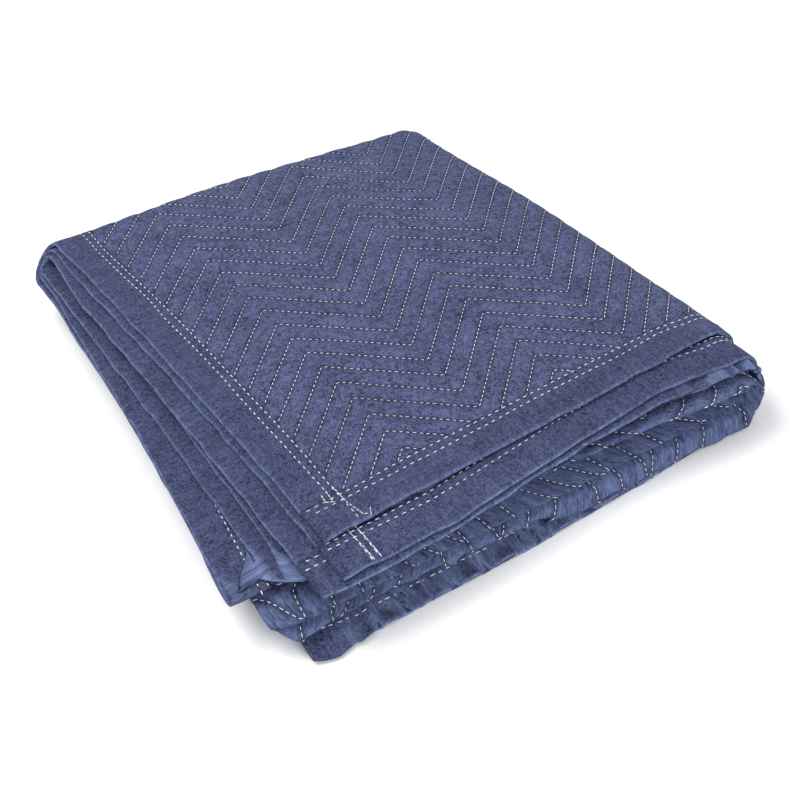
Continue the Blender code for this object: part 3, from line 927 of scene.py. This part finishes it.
@dataclass(frozen=True)
class QuiltedCloth:
    """The quilted cloth: a flat slab, cut fine where it bends and shows, then folded."""

    blanket: Blanket = Blanket()
    quilting: Quilting = Quilting()
    folding: Folding = Folding()
    crumple: Crumple = Crumple()
    coarse: float = 0.024  # faces where the cloth is flat and hidden
    fine: float = 0.0032  # faces of the top layer
    turn_fine: float = 0.0055  # faces beside the first two folds
    sag: float = 0.0003  # how far a face may cut a bend's corner
    shortest: float = 0.0014  # no edge shorter than this is cut for that
    rounds: int = 5
    top_reach: Pair = (0.51, 0.56)  # how far the top layer shows
    back_reach: Pair = (0.455, 0.575)  # and the outer layer at the back
    turn_reach: float = 0.045  # how far from a fold's middle its faces show
    turn_relief: float = 0.14  # share of the quilting's relief left there
    highlight_range: Pair = (0.002, 0.016)  # the painted highlight ends this far from a fold

    def lines(self, length: float) -> Array:
        """Lines of the slab one way: the hem's, then evenly spaced ones.

        Args:
            length: the blanket's size that way.

        Returns:
            The places of the lines.
        """
        hem = self.blanket.tape_width
        inner = hem + self.blanket.hem_ramp
        edge = np.array([0.0, 0.5 * hem, hem])
        count = round((length - 2.0 * inner) / self.coarse)
        run = np.linspace(inner, length - inner, count + 1)
        return np.concatenate([edge, run, length - edge[::-1]])

    def on_top(self, across: Array, along: Array) -> Array:
        """Which places lie in the part of the outer layer that shows.

        Args:
            across: place across the flat blanket.
            along: place along it.

        Returns:
            True for those places.
        """
        hem = self.blanket.tape_width
        top = (across < self.top_reach[0]) & (along < self.top_reach[1])
        start, end = self.back_reach
        back = (across < self.folding.side_fold) & (along > start) & (along < end)
        return (across > hem) & (along > hem) & (top | back)

    def from_turns(self, across: Array, along: Array) -> Array:
        """Distance to the middle of the nearer one of the first two folds.

        Args:
            across: place across the flat blanket.
            along: place along it.

        Returns:
            The distance of each place.
        """
        first = self.folding.first_line(across) + 0.5 * self.folding.arc
        side = self.folding.side_fold + self.folding.arc
        return np.minimum(np.abs(along - first), np.abs(across - side))

    def at_turn(self, across: Array, along: Array) -> Array:
        """Which places lie beside the first two folds, whose outsides show."""
        return self.from_turns(across, along) < self.turn_reach

    def is_long(self, start: Array, end: Array) -> Array:
        """Which edges of the flat slab are too long for what shows there.

        Args:
            start: one end of each edge.
            end: its other end.

        Returns:
            True for the edges to cut.
        """
        across, along, height = (0.5 * (start + end)).T
        length = np.linalg.norm(end - start, axis=1)
        off = bend_off(start, end, lambda flat: self.folding.carry(*flat.T))
        limit = np.where(self.at_turn(across, along), self.turn_fine, 1.0)
        limit = np.where((height > 0.0) & self.on_top(across, along), self.fine, limit)
        return (length > limit) | ((off > self.sag) & (length > self.shortest))

    def face_height(self, across: Array, along: Array) -> Array:
        """Height of a face of the cloth off its middle, before it crumples.

        Args:
            across: place across the flat blanket.
            along: place along it.

        Returns:
            The height of each place.
        """
        blanket = self.blanket
        edge = np.minimum(np.minimum(across, blanket.width - across),
                          np.minimum(along, blanket.length - along))
        hem = blanket.tape_width
        swell = smooth_step(edge, hem, hem + blanket.hem_ramp)
        shown = np.where(self.at_turn(across, along), self.turn_relief,
                         1.0 * self.on_top(across, along))
        full = 0.5 * blanket.thickness + self.quilting.relief(across, along) * shown
        return blanket.hem_half + (full - blanket.hem_half) * swell

    def build(self, material: Material) -> Object:
        """Build the cloth in its folded place.

        Args:
            material: its finish.

        Returns:
            The piece.
        """
        blanket = self.blanket
        item = add_slab("quilted_cloth", self.lines(blanket.width),
                        self.lines(blanket.length), blanket.thickness)
        cut_long_edges(item, self.is_long, self.rounds)
        flat = points_of(item.data)
        u, v, side = flat[:, 0], flat[:, 1], np.sign(flat[:, 2])
        height = side * self.face_height(u, v) + self.crumple.at(u, v)
        # Painted highlight strength, strongest beside the first two folds.
        painted_highlight = 1.0 - smooth_step(self.from_turns(u, v), *self.highlight_range)
        placed = self.folding.fold(u, v, height)
        finish_cloth(item, flat, placed, painted_highlight, material)
        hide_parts("quilted_panel")
        return item


class Side(Enum):
    """The sides of the flat blanket; each value starts its pieces' names."""

    LEFT = "left_side"
    RIGHT = "right_side"
    NEAR = "near_end"
    FAR = "far_end"


@dataclass(frozen=True)
class Creasing:
    """Sharp creases of a loose tape; places are counted in metres."""

    lattice: Unevenness = Unevenness(53)
    height: float = 0.0021
    free_range: Pair = (0.015, 0.023)  # they end at the tape's seam
    bend: float = 12.0  # how far they lean, for each metre of inset
    bend_size: float = 0.05
    ridge_size: Pair = (0.0090, 0.030)
    small_size: Pair = (0.0042, 0.018)
    small_place: float = 9.0  # its place on the lattice
    sharpness: float = 2.4
    small_share: float = 0.45

    def at(self, run: Array, inset: Array) -> Array:
        """Height of the creases where the tape is fully loose.

        Args:
            run: place along the tape.
            inset: place across it, from the blanket's edge.

        Returns:
            The height of each place.
        """
        lattice = self.lattice
        free = 1.0 - smooth_step(inset, *self.free_range)
        bend = self.bend * inset * lattice.at(run / self.bend_size, 0.0)
        size, width = self.ridge_size
        ridge = lattice.at(run / size + bend, inset / width)
        size, width = self.small_size
        small = lattice.at(run / size - bend, inset / width + self.small_place)
        sharp = 1.0 - self.sharpness * np.abs(ridge) + self.small_share * small
        return self.height * free * np.clip(sharp, -1.0, 1.0)


@dataclass(frozen=True)
class Tape:
    """A tape folded over one edge of the cloth and sewn down with two rows."""

    side: Side
    blanket: Blanket = Blanket()
    folding: Folding = Folding()
    crumple: Crumple = Crumple()
    creasing: Creasing = Creasing()
    coarse: float = 0.006  # faces along the tape
    loose_fine: float = 0.0020  # and where it hangs loose and crumpled
    sag: float = 0.00015
    shortest: float = 0.0012
    rounds: int = 4
    turn_faces: int = 3  # faces round each half of the folded edge
    insets: tuple[float, ...] = (0.005, 0.009, 0.014, 0.019, 0.024, 0.029, 0.033)
    corner: float = 0.0362  # the side tapes stop at the end tapes
    painted_highlight: float = 0.0026  # how far the painted highlight reaches from the folded edge
    highlight_on_creases: Pair = (0.50, 0.6)  # painted highlight on the loose creases' ridges: mean, more
    fullness: float = 0.00045  # the hem is this much fuller each side at its edge
    full_range: Pair = (0.008, 0.026)
    edge_waver: float = 0.0010  # how far the folded edge wavers
    edge_waver_size: float = 0.021
    edge_waver_reach: float = 0.016
    far_run: Pair = (0.93, 1.50)  # where the far end's tape is loose
    near_run: Pair = (0.36, 0.56)  # where the near end's puckers
    near_share: float = 0.36  # by this share, in the wide turn
    loose_ramp: float = 0.04

    @property
    def is_end(self) -> bool:
        """Whether the tape runs across the blanket, on one of its ends."""
        return self.side in (Side.NEAR, Side.FAR)

    @property
    def run(self) -> Pair:
        """Where the tape starts and stops along its edge."""
        if self.is_end:
            return 0.0, self.blanket.width
        return self.corner, self.blanket.length - self.corner

    def locate(self, run: Array, inset: Array) -> tuple[Array, Array]:
        """Find places of the tape on the flat blanket.

        Args:
            run: place along the tape's edge of the blanket.
            inset: distance from that edge.

        Returns:
            The place across the blanket and the place along it.
        """
        if self.side is Side.LEFT:
            return inset, run
        if self.side is Side.RIGHT:
            return self.blanket.width - inset, run
        if self.side is Side.NEAR:
            return run, inset
        return run, self.blanket.length - inset

    def wrapped(self, reach: Array, skin: Array) -> tuple[Array, Array]:
        """Inset and height of a place on the tape folded over the edge.

        Args:
            reach: place across the tape from its folded middle.
            skin: height over the middle of the tape's skin.

        Returns:
            The inset from the cloth's edge and the height off the cloth's middle.
        """
        radius = self.blanket.tape_height
        quarter = 0.5 * math.pi * radius
        angle = np.clip(reach / radius, -0.5 * math.pi, 0.5 * math.pi)
        past = np.maximum(np.abs(reach) - quarter, 0.0)
        inset = radius - (radius + skin) * np.cos(angle) + past
        thick = 1.0 - smooth_step(inset, *self.full_range)
        return inset, (radius + self.fullness * thick + skin) * np.sin(angle)

    def looseness(self, run: Array) -> Array:
        """How loose the tape is: 1 where it hangs under the stack's front.

        Args:
            run: place along the tape.

        Returns:
            The looseness of each place, from 0 to 1.
        """
        if not self.is_end:
            return 0.0 * run
        near = self.side is Side.NEAR
        start, stop = self.near_run if near else self.far_run
        rise = smooth_step(run, start, start + self.loose_ramp)
        most = self.near_share if near else 1.0
        return most * rise * (1.0 - smooth_step(run, stop - self.loose_ramp, stop))

    def pucker(self, run: Array, inset: Array) -> Array:
        """Height of the loose tape's creases."""
        return self.looseness(run) * self.creasing.at(run, inset)

    def place(self, run: Array, reach: Array, skin: Array) -> Array:
        """Carry places of the flat tape to the folded stack.

        Args:
            run: place along the tape.
            reach: place across it from its folded middle.
            skin: height over the middle of its skin.

        Returns:
            Points in the frame of the object.
        """
        inset, height = self.wrapped(reach, skin)
        near_edge = 1.0 - smooth_step(inset, 0.0, self.edge_waver_reach)
        waver = self.creasing.lattice.at(run / self.edge_waver_size, 0.0)
        inset = inset + self.edge_waver * near_edge * waver
        across, along = self.locate(run, inset)
        base = self.crumple.at(across, along) + self.pucker(run, inset)
        return self.folding.fold(across, along, height + base)

    def carry(self, flat: Array) -> Array:
        """Carry places of the flat tape, as rows, to the smooth folded stack."""
        inset, height = self.wrapped(flat[:, 1], flat[:, 2])
        return self.folding.carry(*self.locate(flat[:, 0], inset), height)

    def is_long(self, start: Array, end: Array) -> Array:
        """Which edges of the flat tape are cut, for a bend or for the loose creases.

        Args:
            start: one end of each edge.
            end: its other end.

        Returns:
            True for the edges to cut.
        """
        length = np.linalg.norm(end - start, axis=1)
        off = bend_off(start, end, self.carry)
        loose = self.looseness(0.5 * (start[:, 0] + end[:, 0])) > 0.0
        along_run = np.abs(end[:, 0] - start[:, 0]) > self.loose_fine
        return (off > self.sag) & (length > self.shortest) | (loose & along_run)

    def sections(self) -> Array:
        """Lines along the tape, by their place across it."""
        quarter = 0.5 * math.pi * self.blanket.tape_height
        flat_part = self.blanket.tape_width - self.blanket.tape_height + quarter
        turn = quarter * np.arange(1.0, self.turn_faces + 1.0) / self.turn_faces
        half = np.concatenate([turn, self.insets, [flat_part]])
        return np.concatenate([-half[::-1], [0.0], half])

    def build(self, material: Material) -> Object:
        """Build the tape in its folded place.

        Args:
            material: its finish.

        Returns:
            The piece.
        """
        start, stop = self.run
        runs = np.linspace(start, stop, round((stop - start) / self.coarse) + 1)
        name = self.side.value
        item = add_slab(name + "_tape", runs, self.sections(), self.blanket.tape_skin)
        cut_long_edges(item, self.is_long, self.rounds)
        flat = points_of(item.data)
        run, reach, skin = flat[:, 0], flat[:, 1], flat[:, 2]
        placed = self.place(run, reach, skin)
        inset, _ = self.wrapped(reach, skin)
        on_cloth = np.stack([*self.locate(run, inset), reach], axis=1)
        # Painted highlight on the folded edge and on the ridges of the loose creases.
        mean, more = self.highlight_on_creases
        ridge = self.pucker(run, inset) / self.creasing.height
        painted_highlight = np.maximum(1.0 - smooth_step(np.abs(reach), 0.0, self.painted_highlight),
                          self.looseness(run) * np.clip(mean + more * ridge, 0.0, 1.0))
        finish_cloth(item, on_cloth, placed, painted_highlight, material)
        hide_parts(name + "_binding")
        return item


@dataclass(frozen=True)
class StitchShape:
    """One visible stitch of thread: a short bead that dips into the cloth at its ends."""

    length: float
    width: float
    pitch: float
    height: float = 0.0006
    dip: float = 0.00045
    step: float = 0.0006  # how far on the cloth its direction is told from
    variety: float = 0.10  # by which share its length varies

    def bead(self) -> tuple[Array, Array]:
        """Corners and triangles of one stitch of unit size."""
        deselect_all()
        bpy.ops.mesh.primitive_ico_sphere_add(subdivisions=1, radius=1.0)
        item = bpy.context.active_object
        mesh = item.data
        corners = points_of(mesh)
        faces = np.empty(len(mesh.polygons) * 3, dtype=int)
        mesh.polygons.foreach_get("vertices", faces)
        bpy.data.objects.remove(item)
        return corners, faces.reshape(-1, 3)

    def ahead(self, seam: Array, ways: Array, surface: Surface) -> Array:
        """How far the folded cloth goes for one step of the seam each way.

        Args:
            seam: places on the flat cloth, and the face that they are on.
            ways: unit directions on the flat cloth.
            surface: carries flat places to the object's frame.

        Returns:
            The vectors of two steps in the object's frame.
        """
        there = surface(seam + self.step * ways, 0.0)
        return there - surface(seam - self.step * ways, 0.0)

    def spread(self, line: Array, surface: Surface, shift: float,
               shown: Array | None = None) -> tuple[Array, Array]:
        """Set stitches along a line, a pitch apart on the folded cloth.

        Args:
            line: finely spaced places of the line: across, along and face.
            surface: carries flat places to the object's frame.
            shift: where the first stitch starts, in pitches.
            shown: which places of the line are worth the measuring.

        Returns:
            Middles and directions of the stitches on the flat cloth.
        """
        moves = np.diff(line, axis=0)
        flat_steps = np.linalg.norm(moves, axis=1)
        ways = moves / flat_steps[:, None]
        middles = 0.5 * (line[1:] + line[:-1])
        picked = np.ones(len(middles), dtype=bool) if shown is None else shown[1:]
        stretch = np.ones(len(middles))
        if picked.any():
            vectors = self.ahead(middles[picked], ways[picked], surface)
            stretch[picked] = np.linalg.norm(vectors, axis=1) / (2.0 * self.step)
        reach = np.concatenate([[0.0], np.cumsum(flat_steps * stretch)])
        marks = np.arange((shift % 1.0 + 0.5) * self.pitch, reach[-1], self.pitch)
        spots = np.stack([np.interp(marks, reach, line[:, k]) for k in range(3)], axis=1)
        index = np.clip(np.searchsorted(reach, marks) - 1, 0, len(ways) - 1)
        return spots, ways[index]

    def repeat(self, name: str, spots: Array, ways: Array, surface: Surface,
               material: Material) -> Object:
        """Join one stitch for each spot into one piece.

        Args:
            name: the piece's name.
            spots: middles of the stitches on the flat cloth: across, along and face.
            ways: unit directions of the stitches on the flat cloth.
            surface: carries flat places to the object's frame.
            material: the thread.

        Returns:
            The piece.
        """
        bead, triangles = self.bead()
        count = len(spots)
        sides = np.stack([-ways[:, 1], ways[:, 0], ways[:, 2]], axis=1)
        forward = self.ahead(spots, ways, surface)
        aside = self.ahead(spots, sides, surface)
        middle = surface(spots, 0.0)
        outward = surface(spots, self.step) - middle
        up = np.cross(forward, aside)
        up *= np.sign(np.sum(up * outward, axis=1, keepdims=True))
        up /= np.linalg.norm(up, axis=1, keepdims=True)
        forward /= np.linalg.norm(forward, axis=1, keepdims=True)
        aside = np.cross(up, forward)
        numbers = np.random.default_rng(5).uniform(-1.0, 1.0, (count, 1))
        run = bead[:, 0] * 0.5 * self.length * (1.0 + self.variety * numbers)
        side = bead[None, :, 1] * 0.5 * self.width
        rise = bead[None, :, 2] * 0.5 * self.height - self.dip * bead[None, :, 0] ** 2
        placed = (middle[:, None] + run[..., None] * forward[:, None]
                  + side[..., None] * aside[:, None] + rise[..., None] * up[:, None])
        steps = np.arange(count)[:, None, None] * len(bead)
        faces = (triangles[None] + steps).reshape(-1, 3)
        placed = placed.reshape(-1, 3)
        mesh = bpy.data.meshes.new(name)
        mesh.from_pydata(placed.tolist(), [], faces.tolist())
        item = bpy.data.objects.new(name, mesh)
        bpy.context.scene.collection.objects.link(item)
        flat = np.repeat(spots, len(bead), axis=0)
        finish_cloth(item, flat, placed, np.zeros(len(flat)), material)
        return item


@dataclass(frozen=True)
class QuiltStitches:
    """The quilting's stitches, where the cloth's face shows."""

    cloth: QuiltedCloth
    shape: StitchShape = StitchShape(0.0050, 0.00075, 0.0056)
    proud: float = 0.00012  # height of a stitch over the dented cloth
    edge: float = 0.037  # no stitches nearer to the cloth's edges
    sample: float = 0.001  # from place to place of a row's line
    shift: float = 0.618  # pitches that each row starts later

    def centres(self) -> tuple[Array, Array]:
        """Middles and directions of the stitches that show."""
        quilt, blanket = self.cloth.quilting, self.cloth.blanket
        across = np.arange(self.edge, blanket.width - self.edge, self.sample)
        swing = 0.5 * quilt.rise * quilt.swing(across)
        first = -math.ceil(quilt.start / quilt.row) - 2
        spots, ways = [], []
        for row in range(first, math.ceil(blanket.length / quilt.row)):
            along = quilt.start + row * quilt.row + swing
            line = np.stack([across, along, 1.0 + 0.0 * across], axis=1)
            shown = self.shown(line)
            if shown.any():
                found = self.shape.spread(line, self.surface, row * self.shift, shown)
                spots.append(found[0])
                ways.append(found[1])
        spots, ways = np.concatenate(spots), np.concatenate(ways)
        kept = self.shown(spots)
        return spots[kept], ways[kept]

    def shown(self, line: Array) -> Array:
        """Which places of a line carry stitches that may be seen.

        Args:
            line: places on the flat blanket: across and along.

        Returns:
            True for those places.
        """
        across, along = line[:, 0], line[:, 1]
        inside = (along > self.edge) & (along < self.cloth.blanket.length - self.edge)
        seen = self.cloth.on_top(across, along) | self.cloth.at_turn(across, along)
        return inside & seen

    def surface(self, flat: Array, lift: float) -> Array:
        """Carry places on the cloth's upper face to the folded stack.

        Args:
            flat: places on the flat blanket: across and along.
            lift: height over the face.

        Returns:
            Points in the frame of the object.
        """
        u, v = flat[:, 0], flat[:, 1]
        base = self.cloth.face_height(u, v) + self.cloth.crumple.at(u, v)
        return self.cloth.folding.fold(u, v, base + self.proud + lift)

    def build(self, material: Material) -> list[Object]:
        """Build the stitches of the top layer and those of the folds.

        Args:
            material: the thread.

        Returns:
            The two pieces.
        """
        spots, ways = self.centres()
        on_top = self.cloth.on_top(spots[:, 0], spots[:, 1])
        return [self.shape.repeat(name, spots[chosen], ways[chosen], self.surface, material)
                for name, chosen in (("quilting_stitches_on_top", on_top),
                                     ("quilting_stitches_on_folds", ~on_top))]


@dataclass(frozen=True)
class TapeStitches:
    """The two rows of stitches that hold a tape, seen on both faces."""

    tape: Tape
    shape: StitchShape = StitchShape(0.0064, 0.0010, 0.0074)
    insets: tuple[float, ...] = (0.0343, 0.0276)
    waver: Unevenness = Unevenness(71)
    waver_size: float = 0.045
    waver_width: float = 0.0011
    row_place: float = 3.0  # from row to row on the waver's lattice
    loose_shift: float = 0.0100  # the seam lies nearer the edge of the loose tape
    close_pitch: float = 0.0042  # from stitch to stitch in a backtack
    sample: float = 0.001  # from place to place of a row's line
    end_gap: float = 0.002  # a row stops this short of its tape's end
    shift: float = 0.37  # pitches that each row starts later

    def surface(self, flat: Array, lift: float) -> Array:
        """Carry places on the tape's faces to the folded stack.

        Args:
            flat: places on the tape: run, inset and face.
            lift: height over the face.

        Returns:
            Points in the frame of the object.
        """
        run, inset, face = flat[:, 0], flat[:, 1], np.sign(flat[:, 2])
        tape, blanket, depth = self.tape, self.tape.blanket, inset
        if not tape.is_end:  # over the end tapes it is their edge that counts
            from_end = np.minimum(run, blanket.length - run)
            depth = np.where(from_end < tape.corner, from_end, inset)
        thick = tape.fullness * (1.0 - smooth_step(depth, *tape.full_range))
        height = face * (blanket.tape_height + thick + 0.5 * blanket.tape_skin + lift)
        across, along = tape.locate(run, inset)
        base = tape.crumple.at(across, along) + tape.pucker(run, inset)
        return tape.folding.fold(across, along, base + height)

    def rows(self) -> list[Array]:
        """Lines of the rows, as run, inset and face."""
        lines = []
        tape, length = self.tape, self.tape.blanket.length
        for row, inset in enumerate(self.insets):
            for face in Face:
                start, stop = tape.run
                if not tape.is_end and (row == 0 or tape.side is Side.RIGHT):
                    start = 0.0
                if not tape.is_end and face is Face.LOWER:
                    stop = length
                run = np.arange(start + self.end_gap, stop - self.end_gap, self.sample)
                waver = self.waver.at(run / self.waver_size, self.row_place * row)
                bend = self.waver_width * waver - self.loose_shift * tape.looseness(run)
                lines.append(np.stack([run, inset + bend, face.value + 0.0 * run], axis=1))
        return lines

    def build(self, material: Material, more: list[Array]) -> Object:
        """Build the rows of one tape.

        Args:
            material: the thread.
            more: further lines of stitches on the tape, its backtacks.

        Returns:
            The piece.
        """
        found = [self.shape.spread(line, self.surface, self.shift * index)
                 for index, line in enumerate(self.rows())]
        close = replace(self.shape, pitch=self.close_pitch)
        found += [close.spread(line, self.surface, 0.0) for line in more]
        spots, ways = (np.concatenate(parts) for parts in zip(*found))
        name = self.tape.side.value + "_stitches"
        return self.shape.repeat(name, spots, ways, self.surface, material)


@dataclass(frozen=True)
class Backtack:
    """A seam's end, sewn to and fro in short stitches, on one face of a tape."""

    side: Side
    face: Face
    corners: tuple[Pair, ...]  # run and inset of each turn
    spacing: float = 0.0005

    def line(self) -> Array:
        """Finely spaced places of the backtack: run, inset and face."""
        corners = np.array(self.corners)
        steps = np.linalg.norm(np.diff(corners, axis=0), axis=1)
        reach = np.concatenate([[0.0], np.cumsum(steps)])
        marks = np.arange(0.0, reach[-1], self.spacing)
        spots = [np.interp(marks, reach, corners[:, k]) for k in (0, 1)]
        return np.stack([*spots, self.face.value + 0.0 * marks], axis=1)

    @staticmethod
    def on(side: Side) -> list[Array]:
        """Lines of the backtacks on one tape."""
        return [tack.line() for tack in BACKTACKS if tack.side is side]


BACKTACKS = (
    Backtack(Side.LEFT, Face.UPPER, ((0.044, 0.0276), (0.030, 0.0268), (0.033, 0.0215),
                                     (0.043, 0.0225))),
    Backtack(Side.LEFT, Face.UPPER, ((0.046, 0.0345), (0.022, 0.0352), (0.004, 0.0385),
                                     (0.0015, 0.0440), (0.006, 0.0462))),
    Backtack(Side.LEFT, Face.LOWER, ((2.030, 0.0290), (1.986, 0.0278))),
    Backtack(Side.LEFT, Face.LOWER, ((2.030, 0.0350), (1.984, 0.0352))),
)


@dataclass(frozen=True)
class Lamp:
    """One soft square lamp."""

    name: str
    place: Triple
    aim: Triple  # the point that it faces
    size: float
    power: float  # in watts
    colour: Triple

    def build(self) -> None:
        """Hang the lamp."""
        data = bpy.data.lights.new(self.name, "AREA")
        data.shape, data.size = "SQUARE", self.size
        data.energy, data.color = self.power, self.colour
        lamp = bpy.data.objects.new(self.name, data)
        lamp.location = self.place
        lamp.rotation_mode = "QUATERNION"
        way = Vector(self.aim) - Vector(self.place)
        lamp.rotation_quaternion = way.to_track_quat("-Z", "Y")
        bpy.context.scene.collection.objects.link(lamp)


@dataclass(frozen=True)
class Studio:
    """Pale matt paper on the floor, soft light from behind on the left, the camera."""

    eye: Triple = (-0.52728, -0.90365, 0.86686)
    azimuth: float = -32.337
    elevation: float = 40.961
    roll: float = 4.0
    lens: float = 65.08
    sensor: float = 36.0
    floor_size: float = 14.0
    paper: Rgba = (0.93, 0.93, 0.935, 1.0)
    air_strength: float = 0.70
    lamps: tuple[Lamp, ...] = (
        Lamp("key_lamp", (-1.1, 0.9, 2.7), (0.0, 0.0, 0.0), 1.7, 66.0,
             (1.0, 0.99, 0.97)),
        Lamp("front_lamp", (-0.3, -2.3, 1.0), (0.0, 0.0, 0.03), 1.2, 28.0,
             (0.95, 0.97, 1.0)),
    )

    def camera(self) -> None:
        """Place the camera."""
        a, e, r = (math.radians(x) for x in (self.azimuth, self.elevation, self.roll))
        back = np.array([math.sin(a) * math.cos(e), -math.cos(a) * math.cos(e),
                         math.sin(e)])
        right = np.cross(-back, (0.0, 0.0, 1.0))
        right /= np.linalg.norm(right)
        down = np.cross(-back, right)
        matrix = np.eye(4)
        matrix[:3, 0] = math.cos(r) * right + math.sin(r) * down
        matrix[:3, 1] = math.sin(r) * right - math.cos(r) * down
        matrix[:3, 2] = back
        matrix[:3, 3] = self.eye
        data = bpy.data.cameras.new("studio_camera")
        data.lens, data.sensor_width = self.lens, self.sensor
        camera = bpy.data.objects.new("studio_camera", data)
        camera.matrix_world = Matrix(matrix.tolist())
        bpy.context.scene.collection.objects.link(camera)
        bpy.context.scene.camera = camera

    def build(self) -> None:
        """Lay the floor, light it and place the camera."""
        deselect_all()
        bpy.ops.mesh.primitive_plane_add(size=self.floor_size)
        floor = bpy.context.active_object
        floor.name = "studio_floor"
        finish = Finish("studio_paper", 0.95)
        finish.shader.inputs["Base Color"].default_value = self.paper
        floor.data.materials.append(finish.material)
        world = bpy.data.worlds.new("studio_air")
        bpy.context.scene.world = world
        world.use_nodes = True
        air = world.node_tree.nodes["Background"]
        air.inputs["Color"].default_value = (1.0, 1.0, 1.0, 1.0)
        air.inputs["Strength"].default_value = self.air_strength
        for lamp in self.lamps:
            lamp.build()
        bpy.context.scene.view_settings.view_transform = "Standard"
        self.camera()


def main() -> None:
    """Build the cloth, its tapes and stitches, and the studio around them."""
    logging.basicConfig(level=logging.INFO, format="%(message)s")
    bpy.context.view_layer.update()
    thread = ThreadFinish().build()
    side_finish = TapeFinish().build("tape_on_the_sides", False)
    end_finish = TapeFinish().build("tape_on_the_ends", True)
    cloth = QuiltedCloth()
    panel = cloth.build(QuiltedFinish().build())
    on_panel = QuiltStitches(cloth).build(thread)
    for side in Side:
        tape = Tape(side)
        item = tape.build(end_finish if tape.is_end else side_finish)
        rows = TapeStitches(tape).build(thread, Backtack.on(side))
    Studio().build()


if __name__ == "__main__":
    main()
